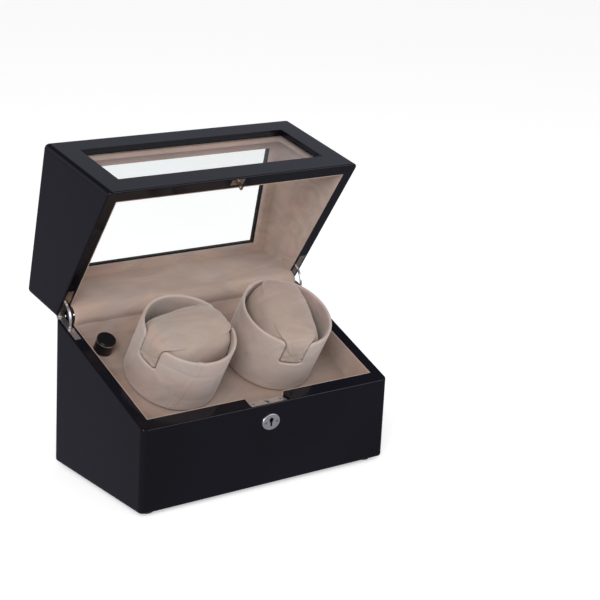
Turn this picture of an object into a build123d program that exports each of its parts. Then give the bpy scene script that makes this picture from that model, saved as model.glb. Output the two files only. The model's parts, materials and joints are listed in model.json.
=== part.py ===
from build123d import *
import os
from math import asin, atan, cos, degrees, radians, sin

os.makedirs("parts", exist_ok=True)

# A two-cup watch winder box. All sizes are in millimetres.
# X runs to the right, Y to the back and Z up. The origin is the centre of the box's underside.

# ---- Driving dimensions: the case ----
WIDTH = 275.0
DEPTH = 150.0
HEIGHT = 194.0  # closed box, without its feet
JOINT_FRONT = 78.5  # height of the slanting joint between base and lid, at the front face
JOINT_BACK = 139.0  # and at the back face, where the hinge axis lies
JOINT_GAP = 0.6  # clear gap between base and lid when shut
LID_OPENING = 78.8  # degrees from shut to fully raised
WALL = 11.5
BOARD = 9.0  # bottom board
CORNER_ROUND = 5.0
TOP_ROUND = 4.6
BOTTOM_ROUND = 2.5
RIM_ROUND = 1.2
LINING = 1.2  # suede on card

# ---- Windows in the lid ----
TOP_GLASS_SETBACK = 3.4
FRONT_GLASS_SETBACK = 5.2
GLASS = 3.0
REBATE = 4.0  # how far the glass and its bead reach behind the frame
TOP_WINDOW_SIDE = 21.5
TOP_WINDOW_FRONT = 24.1
TOP_WINDOW_BACK = 20.5
FRONT_WINDOW_SIDE = 24.4
FRONT_WINDOW_BOTTOM = 103.9
FRONT_WINDOW_TOP = 171.0
LINING_SETBACK = 0.4  # the lining stops this far short of each window's edge

# ---- The slanting deck ----
DECK_FRONT = 42.5  # height of the deck's surface if carried on to the front face
DECK_SLOPE = 0.557
DECK_LINING = 1.0
DECK_BOARD = 4.0
CUP_DEPTH = 83.7  # distance of both cups' axes behind the front face, at the deck

# ---- Cups and cushions ----
CUP_SPACING = 55.0  # from the middle of the box to each cup's axis
CUP_RADIUS = 44.6
CUP_WALL = 3.0
CUP_SKIN = 0.6
CUP_HEIGHT = 62.0
CUP_LIFT = 1.0
CUP_FLOOR = 3.0
SLOT_WIDTH = 23.4
SLOT_BOTTOM = 36.5
CUP_TURN = {"left": 10.0, "right": 73.0}  # direction of each cup's slots from +X, in the deck's plane
CUSHION_HALF_WIDTH = 32.0
CUSHION_HALF_HEIGHT = 28.0
CUSHION_CENTRE = 44.0
CUSHION_END_RADIUS = 40.6  # both ends follow the cup's wall

# ---- Drive under the deck ----
SPINDLE_RADIUS = 3.0
MOTOR_SHAFT_RADIUS = 2.0
RUNNING = 0.04  # radial clearance of a turning fit
DRUM_PITCH = 30.0
PULLEY_PITCH = 6.0
BELT = 2.0  # square belt
BELT_CLEARANCE = 0.3
BELT_LEVELS = {"left": -10.5, "right": -14.5}
PULLEY_TOP = -8.0
PULLEY_BOTTOM = -17.0

# ---- Knob ----
KNOB_X = -104.0
KNOB_SLOPE = 44.1  # up the deck from the line of the cups
KNOB_RADIUS = 8.9
KNOB_HEIGHT = 15.0

# ---- Hinges and stay arms ----
LEAF_WIDTH = 6.4
LEAF_LENGTH = 34.0
LEAF = 1.5
KNUCKLE_RADIUS = 2.4
PIN_RADIUS = 1.2
ARM_RADIUS = 17.0
ARM_WIDTH = 2.0
ARM_HALF_THICKNESS = 0.6
LUG_HALF_THICKNESS = 1.5
ARM_POCKET = 54.0  # degrees about the hinge that each wall is hollowed for the arm
LEAF_SCREWS = (10.0, 28.0)  # distance from the hinge axis
SCREW_RADIUS = 1.0
SCREW_HEAD_RADIUS = 2.1
SCREW_LENGTH = 9.0

# ---- Lock ----
NOTCH_WIDTH = 43.5
LOCK_PLATE = (40.0, 9.7, 1.5)
LOCK_CASE = (36.0, 8.9, 22.0)
LOCK_SHEET = 0.8
TONGUE_DEPTH = 5.5  # behind the front face, on the joint plane
TONGUE = (1.8, 4.2, 7.6)
ESCUTCHEON_HEIGHT = 61.3
ESCUTCHEON_RADII = (9.8, 7.6)
PIN_SPREAD = 6.2

# ---- Feet ----
FOOT_RADIUS = 7.0
FOOT_HEIGHT = 4.0
FOOT_INSET = 14.0
FOOT_SEAT = 1.0

# ---- Derived places ----
BACK = DEPTH / 2
FRONT = -DEPTH / 2
INNER_WIDTH = WIDTH - 2 * WALL
INNER_DEPTH = DEPTH - 2 * WALL
LID_CEILING = HEIGHT - WALL
SIDES = {"left": -1, "right": 1}

joint_angle = atan((JOINT_BACK - JOINT_FRONT) / DEPTH)
JOINT = Plane(
    origin=(0, BACK, JOINT_BACK),
    x_dir=(1, 0, 0),
    z_dir=(0, -sin(joint_angle), cos(joint_angle)),
)
HINGE = Axis((0, BACK, JOINT_BACK), (-1, 0, 0))

deck_angle = atan(DECK_SLOPE)
DECK = Plane(
    origin=(0, FRONT + CUP_DEPTH, DECK_FRONT + DECK_SLOPE * CUP_DEPTH),
    x_dir=(1, 0, 0),
    z_dir=(0, -sin(deck_angle), cos(deck_angle)),
)


def save(piece, label):
    """Label a finished piece and write it."""
    piece.part.label = label
    export_step(piece.part, f"parts/{label}.step")


def save_raised(piece, label):
    """Write a piece of the lid, which is drawn shut, in the lid's raised position."""
    piece.part = piece.part.rotate(HINGE, LID_OPENING)
    save(piece, label)


def joint_height(y):
    """Height of the joint plane at a place along Y."""
    return JOINT_FRONT + (y - FRONT) * (JOINT_BACK - JOINT_FRONT) / DEPTH


def deck_height(y, above=0.0):
    """Height, at a place along Y, of the surface that lies a given distance above the deck."""
    return DECK_FRONT + (y - FRONT) * DECK_SLOPE + above / cos(deck_angle)


def deck_spot(x, slope=0.0, turn=0.0):
    """A plane on the deck's surface, centred at x and a distance up the slope, turned about its normal."""
    centre = DECK.origin + DECK.x_dir * x + DECK.y_dir * slope
    x_dir = DECK.x_dir * cos(radians(turn)) + DECK.y_dir * sin(radians(turn))
    return Plane(origin=centre, x_dir=x_dir, z_dir=DECK.z_dir)


def upright(plane):
    """The plane through another's normal: x is the radius and y the height above it."""
    return Plane(origin=plane.origin, x_dir=plane.x_dir, z_dir=-plane.y_dir)


def hinge_side(x):
    """A side view at x, centred on the hinge axis: x runs forward along the joint, y away from it."""
    return Plane(origin=(x, BACK, JOINT_BACK), x_dir=-JOINT.y_dir, z_dir=(-1, 0, 0))


def arc_band(middle, half_thickness, start, end):
    """A flat band that follows a circle about the origin, from one angle to another."""
    inner = middle - half_thickness
    outer = middle + half_thickness
    with BuildSketch() as band:
        with BuildLine():
            low = CenterArc((0, 0), inner, start, end - start)
            high = CenterArc((0, 0), outer, start, end - start)
            Line(low @ 0, high @ 0)
            Line(low @ 1, high @ 1)
        make_face()
    return band.sketch


def block(low, high):
    """A plain block between two corners, kept out of any part being built."""
    size = [b - a for a, b in zip(low, high)]
    middle = [(a + b) / 2 for a, b in zip(low, high)]
    return Pos(*middle) * Solid.make_box(*size, Plane(origin=[-s / 2 for s in size]))


def wood_screw(plane, length=SCREW_LENGTH, radius=SCREW_RADIUS, head=SCREW_HEAD_RADIUS):
    """A countersunk screw whose flat head lies in the plane and whose shank runs against its normal."""
    with BuildPart() as screw:
        with BuildSketch(upright(plane)):
            with BuildLine():
                Polyline(
                    (0, 0),
                    (head, 0),
                    (radius, radius - head),
                    (radius, -length + radius),
                    (0, -length),
                    close=True,
                )
            make_face()
        revolve(axis=Axis(plane.origin, plane.z_dir))
    return screw.part


# ---------------------------------------------------------------- hinges, their screws and pins


def hinge_middle(side):
    """X of the middle of a side wall."""
    return SIDES[side] * (WIDTH - WALL) / 2


def leaf_screw_planes(side, lid):
    """Where the screws of one leaf go: their heads lie in the joint's face."""
    if lid:
        face = Plane(origin=JOINT.origin + JOINT.z_dir * JOINT_GAP, x_dir=JOINT.x_dir, z_dir=-JOINT.z_dir)
        forward = face.y_dir
    else:
        face = JOINT
        forward = -face.y_dir
    x = face.x_dir * hinge_middle(side)
    return [Plane(origin=face.origin + x + forward * d, x_dir=face.x_dir, z_dir=face.z_dir) for d in LEAF_SCREWS]


def leaf_level(lid):
    """Lowest and highest face of a leaf, measured from the joint plane through the hinge axis."""
    return (JOINT_GAP, JOINT_GAP + LEAF) if lid else (-LEAF, 0.0)


def hinge_leaf(side, lid):
    """A narrow leaf let into a side wall's edge, with one knuckle and a slot for the stay arm."""
    low, high = leaf_level(lid)
    middle = hinge_middle(side)
    half = LEAF_WIDTH / 2
    own_side = 1 if lid else -1
    clear = KNUCKLE_RADIUS + 0.35
    with BuildPart() as leaf:
        with BuildSketch(hinge_side(middle)):
            with Locations(((clear + LEAF_LENGTH) / 2, (low + high) / 2)):
                Rectangle(LEAF_LENGTH - clear, LEAF)
        extrude(amount=half, both=True)
        knuckle_middle = middle + own_side * (half / 2 + 0.05)
        with BuildSketch(hinge_side(knuckle_middle)):
            Circle(KNUCKLE_RADIUS)
            with Locations((clear / 2 + 0.25, (low + high) / 2)):
                Rectangle(clear + 0.5, LEAF)
            Circle(PIN_RADIUS + (RUNNING if lid else 0), mode=Mode.SUBTRACT)
        extrude(amount=half / 2 - 0.05, both=True)
        with BuildSketch(hinge_side(middle)):
            with Locations((ARM_RADIUS, (low + high) / 2)):
                Rectangle(2 * ARM_HALF_THICKNESS + 0.7, 2 * LEAF)
        extrude(amount=ARM_WIDTH / 2 + 0.2, both=True, mode=Mode.SUBTRACT)
        for spot in leaf_screw_planes(side, lid):
            add(wood_screw(spot), mode=Mode.SUBTRACT)
    return leaf


def hinge_pocket(side, lid):
    """What a side wall gives up to one hinge: the leaf's seat, room for the knuckles and for the arm."""
    low, high = leaf_level(lid)
    middle = hinge_middle(side)
    reach = (0, ARM_POCKET) if lid else (-ARM_POCKET, 0)
    with BuildPart() as pocket:
        with BuildSketch(hinge_side(middle)):
            with Locations((LEAF_LENGTH / 2, (low + high) / 2)):
                Rectangle(LEAF_LENGTH, LEAF)
        extrude(amount=LEAF_WIDTH / 2, both=True)
        with BuildSketch(hinge_side(middle)):
            Circle(KNUCKLE_RADIUS + 0.35)
        extrude(amount=LEAF_WIDTH / 2 + 0.3, both=True)
        with BuildSketch(hinge_side(middle)):
            add(arc_band(ARM_RADIUS, LUG_HALF_THICKNESS + 0.4, *reach))
        extrude(amount=ARM_WIDTH / 2 + 0.4, both=True)
        for spot in leaf_screw_planes(side, lid):
            add(wood_screw(spot))
    return pocket.part


for side in SIDES:
    save(hinge_leaf(side, lid=False), f"hinge_base_leaf_{side}")
    save_raised(hinge_leaf(side, lid=True), f"hinge_lid_leaf_{side}")

with BuildPart() as hinge_pins:
    for side in SIDES:
        with BuildSketch(hinge_side(hinge_middle(side))):
            Circle(PIN_RADIUS)
        extrude(amount=LEAF_WIDTH / 2, both=True)
save(hinge_pins, "hinge_pins")

with BuildPart() as hinge_lid_screws:
    for side in SIDES:
        for spot in leaf_screw_planes(side, lid=True):
            add(wood_screw(spot))
save_raised(hinge_lid_screws, "hinge_lid_screws")

# Each curved arm slides half into the base and half into the lid, and its end lugs stop the lid.
LUG_ANGLE = 4.0
LUG_CLEARANCE = 0.6
ARM_START = -degrees(asin(LEAF / ARM_RADIUS)) - LUG_CLEARANCE - LUG_ANGLE
ARM_END = LID_OPENING + degrees(asin((JOINT_GAP + LEAF) / ARM_RADIUS)) + LUG_CLEARANCE + LUG_ANGLE
with BuildPart() as stay_arms:
    for side in SIDES:
        with BuildSketch(hinge_side(hinge_middle(side))):
            add(arc_band(ARM_RADIUS, ARM_HALF_THICKNESS, ARM_START, ARM_END))
            add(arc_band(ARM_RADIUS, LUG_HALF_THICKNESS, ARM_START, ARM_START + LUG_ANGLE))
            add(arc_band(ARM_RADIUS, LUG_HALF_THICKNESS, ARM_END - LUG_ANGLE, ARM_END))
        extrude(amount=ARM_WIDTH / 2, both=True)
save(stay_arms, "stay_arms")

# ---------------------------------------------------------------- base walls and bottom board


def walls(bottom, top):
    """The four walls as one ring between two heights, with rounded upright edges."""
    with BuildPart() as ring:
        with BuildSketch(Plane.XY.offset(bottom)):
            RectangleRounded(WIDTH, DEPTH, CORNER_ROUND)
            Rectangle(INNER_WIDTH, INNER_DEPTH, mode=Mode.SUBTRACT)
        extrude(amount=top - bottom)
    return ring.part


def wall_space(side):
    """The space that one wall fills: side walls run the whole depth, the others fit between them."""
    half_width = WIDTH / 2
    if side in SIDES:
        low, high = (-half_width, -INNER_WIDTH / 2) if side == "left" else (INNER_WIDTH / 2, half_width)
        return block((low, FRONT, 0), (high, BACK, HEIGHT))
    low, high = (FRONT, FRONT + WALL) if side == "front" else (BACK - WALL, BACK)
    return block((-INNER_WIDTH / 2, low, 0), (INNER_WIDTH / 2, high, HEIGHT))


with BuildPart() as base_walls:
    add(walls(BOARD, LID_CEILING))
    split(bisect_by=JOINT, keep=Keep.BOTTOM)
    rim_face = base_walls.faces().sort_by(Axis(JOINT.origin, JOINT.z_dir))[-1]
    fillet(rim_face.outer_wire().edges(), radius=RIM_ROUND)

for side in SIDES:
    with BuildPart() as base_side:
        add(base_walls.part)
        add(wall_space(side), mode=Mode.INTERSECT)
        add(hinge_pocket(side, lid=False), mode=Mode.SUBTRACT)
    save(base_side, f"base_{side}_panel")

with BuildPart() as bottom_board:
    with BuildSketch():
        RectangleRounded(WIDTH, DEPTH, CORNER_ROUND)
    extrude(amount=BOARD)
    fillet(bottom_board.faces().sort_by(Axis.Z)[0].edges(), radius=BOTTOM_ROUND)
    with BuildSketch():
        with GridLocations(WIDTH - 2 * FOOT_INSET, DEPTH - 2 * FOOT_INSET, 2, 2):
            Circle(FOOT_RADIUS + 0.5)
    extrude(amount=FOOT_SEAT, mode=Mode.SUBTRACT)
save(bottom_board, "base_bottom_board")

with BuildPart() as feet:
    with BuildSketch(Plane.XY.offset(-FOOT_HEIGHT)):
        with GridLocations(WIDTH - 2 * FOOT_INSET, DEPTH - 2 * FOOT_INSET, 2, 2):
            Circle(FOOT_RADIUS)
    extrude(amount=FOOT_HEIGHT + FOOT_SEAT)
    fillet(feet.faces().group_by(Axis.Z)[0].edges(), radius=0.9)
save(feet, "feet")

# ---------------------------------------------------------------- front panel and lock

lock_seat_back = FRONT + WALL
lock_top = JOINT_FRONT - LOCK_PLATE[2]


def keyhole(height):
    """A keyhole outline: a round hole with a narrow slot below it."""
    with BuildSketch() as hole:
        with Locations((0, height + 1.8)):
            Circle(2.3)
        with Locations((0, height - 1.8)):
            Rectangle(2.2, 4.8)
    return hole.sketch


with BuildPart() as base_front_panel:
    add(base_walls.part)
    add(wall_space("front"), mode=Mode.INTERSECT)
    # the level notch for the lock's plate, then the plate's seat and the lock's mortise
    with BuildSketch(Plane.XY.offset(JOINT_FRONT)):
        with Locations((0, FRONT + WALL / 2)):
            Rectangle(NOTCH_WIDTH, WALL + 2)
    extrude(amount=10, mode=Mode.SUBTRACT)
    with BuildSketch(Plane.XY.offset(JOINT_FRONT)):
        with Locations((0, lock_seat_back - LOCK_PLATE[1] / 2)):
            Rectangle(LOCK_PLATE[0], LOCK_PLATE[1])
    extrude(amount=-LOCK_PLATE[2], mode=Mode.SUBTRACT)
    with BuildSketch(Plane.XY.offset(lock_top)):
        with Locations((0, lock_seat_back - LOCK_CASE[1] / 2)):
            Rectangle(LOCK_CASE[0], LOCK_CASE[1])
    extrude(amount=-LOCK_CASE[2], mode=Mode.SUBTRACT)
    with BuildSketch(Plane.XZ.offset(-FRONT)):
        add(keyhole(ESCUTCHEON_HEIGHT))
    extrude(amount=-WALL, mode=Mode.SUBTRACT)
    with BuildSketch(Plane.XZ.offset(-FRONT)):
        with Locations((-PIN_SPREAD, ESCUTCHEON_HEIGHT), (PIN_SPREAD, ESCUTCHEON_HEIGHT)):
            Circle(0.5)
    extrude(amount=-2.2, mode=Mode.SUBTRACT)
save(base_front_panel, "base_front_panel")

case_centre_y = lock_seat_back - LOCK_CASE[1] / 2
with BuildPart() as lock_case:
    with BuildSketch(Plane.XY.offset(lock_top)):
        with Locations((0, case_centre_y)):
            Rectangle(LOCK_CASE[0], LOCK_CASE[1])
    extrude(amount=-LOCK_CASE[2])
    with BuildSketch(Plane.XY.offset(lock_top)):
        with Locations((0, case_centre_y)):
            Rectangle(LOCK_CASE[0] - 2 * LOCK_SHEET, LOCK_CASE[1] - 2 * LOCK_SHEET)
    extrude(amount=-LOCK_CASE[2] + LOCK_SHEET, mode=Mode.SUBTRACT)
    with BuildSketch(Plane.XZ.offset(-FRONT)):
        add(keyhole(ESCUTCHEON_HEIGHT))
    extrude(amount=-WALL + 2 * LOCK_SHEET, mode=Mode.SUBTRACT)
save(lock_case, "lock_case")

# The tongue of the strike enters this slot square to the joint.
slot_y = FRONT + TONGUE_DEPTH + 1.3
with BuildPart() as lock_face_plate:
    with BuildSketch(Plane.XY.offset(JOINT_FRONT)):
        with Locations((0, lock_seat_back - LOCK_PLATE[1] / 2)):
            RectangleRounded(LOCK_PLATE[0], LOCK_PLATE[1], 0.8)
        with Locations((0, slot_y)):
            Rectangle(3.2, 6.6, mode=Mode.SUBTRACT)
        with Locations((-15, slot_y), (15, slot_y)):
            Circle(1.5, mode=Mode.SUBTRACT)
    extrude(amount=-LOCK_PLATE[2])
save(lock_face_plate, "lock_face_plate")

TONGUE_PLANE = Plane(
    origin=(0, FRONT + TONGUE_DEPTH, joint_height(FRONT + TONGUE_DEPTH)),
    x_dir=(1, 0, 0),
    z_dir=JOINT.z_dir,
)
EYE_DROP = 5.6
eye = TONGUE_PLANE.origin - JOINT.z_dir * EYE_DROP
BOLT_TIP = -1.6
with BuildPart() as lock_bolt:
    with BuildSketch(Plane(origin=(BOLT_TIP, eye.Y, eye.Z), x_dir=(0, 1, 0), z_dir=(-1, 0, 0))):
        Circle(0.9)
    extrude(amount=5.4)
    with BuildSketch(Plane(origin=(BOLT_TIP - 5.4, eye.Y, eye.Z), x_dir=(0, 1, 0), z_dir=(-1, 0, 0))):
        Rectangle(3.6, 2.4)
    extrude(amount=8)
save(lock_bolt, "lock_bolt")

with BuildPart() as escutcheon:
    with BuildSketch(Plane.XZ.offset(-FRONT)):
        with Locations((0, ESCUTCHEON_HEIGHT)):
            Ellipse(*ESCUTCHEON_RADII)
    extrude(amount=1.3)
    fillet(escutcheon.faces().sort_by(Axis.Y)[0].edges(), radius=0.6)
    with BuildSketch(Plane.XZ.offset(-FRONT)):
        add(keyhole(ESCUTCHEON_HEIGHT))
        with Locations((-PIN_SPREAD, ESCUTCHEON_HEIGHT), (PIN_SPREAD, ESCUTCHEON_HEIGHT)):
            Circle(0.5)
    extrude(amount=3, mode=Mode.SUBTRACT)
save(escutcheon, "keyhole_escutcheon")

with BuildPart() as escutcheon_pins:
    with BuildSketch(Plane.XZ.offset(-FRONT - 2)):
        with Locations((-PIN_SPREAD, ESCUTCHEON_HEIGHT), (PIN_SPREAD, ESCUTCHEON_HEIGHT)):
            Circle(0.5)
    extrude(amount=3.3)
    with BuildSketch(Plane.XZ.offset(-FRONT + 1.3)):
        with Locations((-PIN_SPREAD, ESCUTCHEON_HEIGHT), (PIN_SPREAD, ESCUTCHEON_HEIGHT)):
            Circle(1.25)
    extrude(amount=0.6, taper=25)
save(escutcheon_pins, "escutcheon_pins")

# ---------------------------------------------------------------- back panel and power inlet

JACK_X = 92.0
JACK_Z = 30.0
jack_plane = Plane(origin=(JACK_X, BACK, JACK_Z), x_dir=(-1, 0, 0), z_dir=(0, 1, 0))

with BuildPart() as base_back_panel:
    add(base_walls.part)
    add(wall_space("back"), mode=Mode.INTERSECT)
    with BuildSketch(jack_plane):
        Circle(4.1)
    extrude(amount=-WALL, mode=Mode.SUBTRACT)
save(base_back_panel, "base_back_panel")

with BuildPart() as dc_jack:
    with BuildSketch(jack_plane):
        Circle(6.5)
    extrude(amount=1.5)
    fillet(dc_jack.faces().sort_by(Axis.Y)[-1].edges(), radius=0.6)
    with BuildSketch(jack_plane):
        Circle(4.0)
    extrude(amount=-18)
    with BuildSketch(jack_plane.offset(1.5)):
        Circle(2.85)
        Circle(1.05, mode=Mode.SUBTRACT)
    extrude(amount=-9.5, mode=Mode.SUBTRACT)
save(dc_jack, "dc_jack")

# ---------------------------------------------------------------- deck, cleats and wall lining

deck_front_y = FRONT + WALL + 0.2
deck_back_y = BACK - WALL - 0.2
BUSH_RADIUS = 6.0
BUSH_FLANGE_RADIUS = 10.0
SWITCH_BUSH_RADIUS = 3.5
deck_screw_spots = [(x, s) for x in (-120.5, 120.5) for s in (-60.0, 48.0)]
motor_screw_spots = [(0, -22.0), (0, 22.0)]


def deck_slab(below, thickness):
    """The outline of a sloping layer under the deck's surface, seen from the side."""
    upper = -below
    lower = -below - thickness
    with BuildSketch() as outline:
        with BuildLine():
            Polyline(
                (deck_front_y, deck_height(deck_front_y, upper)),
                (deck_back_y, deck_height(deck_back_y, upper)),
                (deck_back_y, deck_height(deck_back_y, lower)),
                (deck_front_y, deck_height(deck_front_y, lower)),
                close=True,
            )
        make_face()
    return outline.sketch


with BuildPart() as deck_board:
    with BuildSketch(Plane.YZ):
        add(deck_slab(DECK_LINING, DECK_BOARD))
    extrude(amount=INNER_WIDTH / 2 - 0.2, both=True)
    with BuildSketch(DECK):
        with Locations((-CUP_SPACING, 0), (CUP_SPACING, 0)):
            Circle(BUSH_RADIUS)
        with Locations((KNOB_X, KNOB_SLOPE)):
            Circle(SWITCH_BUSH_RADIUS)
    extrude(amount=-DECK_LINING - DECK_BOARD - 1, mode=Mode.SUBTRACT)
    for spot in deck_screw_spots:
        add(wood_screw(deck_spot(*spot).offset(-DECK_LINING)), mode=Mode.SUBTRACT)
    with BuildSketch(DECK.offset(-DECK_LINING - DECK_BOARD)):
        with Locations(*motor_screw_spots):
            Circle(1.5)
    extrude(amount=3, mode=Mode.SUBTRACT)
save(deck_board, "deck_board")

with BuildPart() as deck_lining:
    with BuildSketch(Plane.YZ):
        add(deck_slab(0, DECK_LINING))
    extrude(amount=INNER_WIDTH / 2 - 0.2, both=True)
    with BuildSketch(DECK):
        with Locations((-CUP_SPACING, 0), (CUP_SPACING, 0)):
            Circle(BUSH_RADIUS + 2)
        with Locations((KNOB_X, KNOB_SLOPE)):
            Circle(SWITCH_BUSH_RADIUS + 1)
    extrude(amount=-DECK_LINING - 1, mode=Mode.SUBTRACT)
save(deck_lining, "deck_lining")

with BuildPart() as deck_cleats:
    with BuildSketch(Plane.YZ):
        add(deck_slab(DECK_LINING + DECK_BOARD, 9))
    extrude(amount=INNER_WIDTH / 2, both=True)
    add(block((-INNER_WIDTH / 2 + 10, FRONT, 0), (INNER_WIDTH / 2 - 10, BACK, HEIGHT)), mode=Mode.SUBTRACT)
    for spot in deck_screw_spots:
        add(wood_screw(deck_spot(*spot).offset(-DECK_LINING)), mode=Mode.SUBTRACT)
save(deck_cleats, "deck_cleats")

# The same screws hold the deck to its cleats and the lower hinge leaves to the walls.
with BuildPart() as base_wood_screws:
    for spot in deck_screw_spots:
        add(wood_screw(deck_spot(*spot).offset(-DECK_LINING)))
    for side in SIDES:
        for spot in leaf_screw_planes(side, lid=False):
            add(wood_screw(spot))
save(base_wood_screws, "base_wood_screws")

with BuildPart() as base_wall_lining:
    with BuildSketch():
        Rectangle(INNER_WIDTH, INNER_DEPTH)
        Rectangle(INNER_WIDTH - 2 * LINING, INNER_DEPTH - 2 * LINING, mode=Mode.SUBTRACT)
    extrude(amount=HEIGHT)
    split(bisect_by=JOINT.offset(-0.4), keep=Keep.BOTTOM)
    split(bisect_by=DECK, keep=Keep.TOP)
    add(block((-NOTCH_WIDTH / 2, FRONT, JOINT_FRONT - 0.4), (NOTCH_WIDTH / 2, 0, HEIGHT)), mode=Mode.SUBTRACT)
save(base_wall_lining, "base_wall_lining")

# ---------------------------------------------------------------- turntables


def ring_profile(plane, inner, outer, low, high):
    """A ring about a plane's normal, between two radii and two heights."""
    with BuildPart() as ring:
        with BuildSketch(plane.offset(low)):
            Circle(outer)
            if inner > 0:
                Circle(inner, mode=Mode.SUBTRACT)
        extrude(amount=high - low)
    return ring.part


def belt_wheel(plane, pitch, bore, hub_top):
    """A wheel with two square grooves for belts at the given pitch radius."""
    rim = pitch + BELT / 2 + 0.5
    groove = pitch - BELT / 2 - BELT_CLEARANCE
    half_groove = BELT / 2 + BELT_CLEARANCE
    with BuildPart() as wheel:
        add(ring_profile(plane, bore, rim, PULLEY_BOTTOM, PULLEY_TOP))
        if hub_top > PULLEY_TOP:
            add(ring_profile(plane, bore, bore + 4, PULLEY_TOP, hub_top))
        for level in BELT_LEVELS.values():
            cut = ring_profile(plane, groove, rim + 1, level - half_groove, level + half_groove)
            add(cut, mode=Mode.SUBTRACT)
        if pitch > 20:
            hollow = ring_profile(plane, bore + 5, groove - 2.5, PULLEY_BOTTOM, PULLEY_TOP - 3)
            add(hollow, mode=Mode.SUBTRACT)
    return wheel


def slot_outline(grow):
    """The outline of the cut-out in a cup's wall: rounded below, and flared where it meets the rim."""
    half = SLOT_WIDTH / 2
    top = CUP_HEIGHT
    with BuildSketch() as slot:
        with BuildLine():
            Polyline(
                (-half, SLOT_BOTTOM),
                (half, SLOT_BOTTOM),
                (half, top),
                (half + 20, top),
                (half + 20, top + 10),
                (-half - 20, top + 10),
                (-half - 20, top),
                (-half, top),
                close=True,
            )
        make_face()
        fillet(slot.vertices().group_by(Axis.Y)[0], radius=3)
        rim_corners = slot.vertices().filter_by(lambda v: abs(v.Y - top) < 0.1 and abs(v.X) < half + 1)
        fillet(rim_corners, radius=6)
        if grow:
            offset(amount=grow)
    return slot.sketch


def cup_wall(plane, inner, outer, low, high, grow):
    """A cup's wall with its two opposite cut-outs."""
    across = Plane(origin=plane.origin, x_dir=plane.y_dir, z_dir=plane.x_dir)
    with BuildPart() as wall:
        add(ring_profile(plane, inner, outer, low, high))
        with BuildSketch(across):
            add(slot_outline(grow))
        extrude(amount=CUP_RADIUS + 5, both=True, mode=Mode.SUBTRACT)
    return wall.part


def turntable(side):
    """One driven cup: spindle, belt drum, stiff cup shell and its suede cover, with the bush it turns in."""
    spot = deck_spot(SIDES[side] * CUP_SPACING, turn=CUP_TURN[side])
    cup_inside = CUP_RADIUS - CUP_WALL

    with BuildPart() as bush:
        add(ring_profile(spot, SPINDLE_RADIUS + RUNNING, BUSH_RADIUS, -DECK_LINING - DECK_BOARD, 0))
        flange_top = -DECK_LINING - DECK_BOARD
        add(ring_profile(spot, SPINDLE_RADIUS + RUNNING, BUSH_FLANGE_RADIUS, flange_top - 1.5, flange_top))
    save(bush, f"spindle_bush_{side}")

    with BuildPart() as spindle:
        add(ring_profile(spot, 0, SPINDLE_RADIUS, PULLEY_BOTTOM - 2, CUP_LIFT + CUP_FLOOR))
        chamfer(spindle.edges(), length=0.4)
    save(spindle, f"spindle_{side}")

    save(belt_wheel(spot, DRUM_PITCH, SPINDLE_RADIUS, -7.0), f"belt_drum_{side}")

    with BuildPart() as shell:
        shell_outside = CUP_RADIUS - CUP_SKIN
        shell_inside = cup_inside + CUP_SKIN
        shell_top = CUP_HEIGHT - CUP_SKIN
        add(ring_profile(spot, SPINDLE_RADIUS, shell_outside, CUP_LIFT, CUP_LIFT + CUP_FLOOR))
        add(cup_wall(spot, shell_inside, shell_outside, CUP_LIFT + CUP_FLOOR, shell_top, CUP_SKIN))
    save(shell, f"cup_shell_{side}")

    with BuildPart() as cover:
        add(cup_wall(spot, cup_inside, CUP_RADIUS, CUP_LIFT, CUP_HEIGHT, 0))
        add(shell.part, mode=Mode.SUBTRACT)
        add(ring_profile(spot, 0, shell_inside, CUP_LIFT - 1, CUP_LIFT + CUP_FLOOR), mode=Mode.SUBTRACT)
    save(cover, f"cup_cover_{side}")

    middle = spot.offset(CUSHION_CENTRE)
    with BuildPart() as cushion:
        with BuildSketch(Plane(origin=middle.origin, x_dir=middle.y_dir, z_dir=middle.x_dir)):
            Ellipse(CUSHION_HALF_WIDTH, CUSHION_HALF_HEIGHT)
        extrude(amount=CUP_RADIUS, both=True)
        add(ring_profile(spot, 0, CUSHION_END_RADIUS, 0, CUP_HEIGHT + 20), mode=Mode.INTERSECT)
    save(cushion, f"cushion_{side}")


for side in SIDES:
    turntable(side)

# ---------------------------------------------------------------- motor, pulley and belts

PLATE_TOP = -20.0
PLATE = 1.5
centre = deck_spot(0)

with BuildPart() as motor_bracket:
    with BuildSketch(centre.offset(PLATE_TOP)):
        RectangleRounded(14, 56, 3)
        Circle(3.7, mode=Mode.SUBTRACT)
    extrude(amount=-PLATE)
    with BuildSketch(centre.offset(PLATE_TOP)):
        with Locations(*motor_screw_spots):
            Circle(3.5)
    extrude(amount=-DECK_LINING - DECK_BOARD - PLATE_TOP)
    with BuildSketch(centre.offset(PLATE_TOP - PLATE)):
        with Locations(*motor_screw_spots):
            Circle(1.5)
    extrude(amount=20, mode=Mode.SUBTRACT)
save(motor_bracket, "motor_bracket")

with BuildPart() as motor_screws:
    with BuildSketch(centre.offset(PLATE_TOP - PLATE)):
        with Locations(*motor_screw_spots):
            Circle(1.5)
    extrude(amount=19)
    with BuildSketch(centre.offset(PLATE_TOP - PLATE)):
        with Locations(*motor_screw_spots):
            Circle(2.8)
    extrude(amount=-1.8)
save(motor_screws, "motor_screws")

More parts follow.
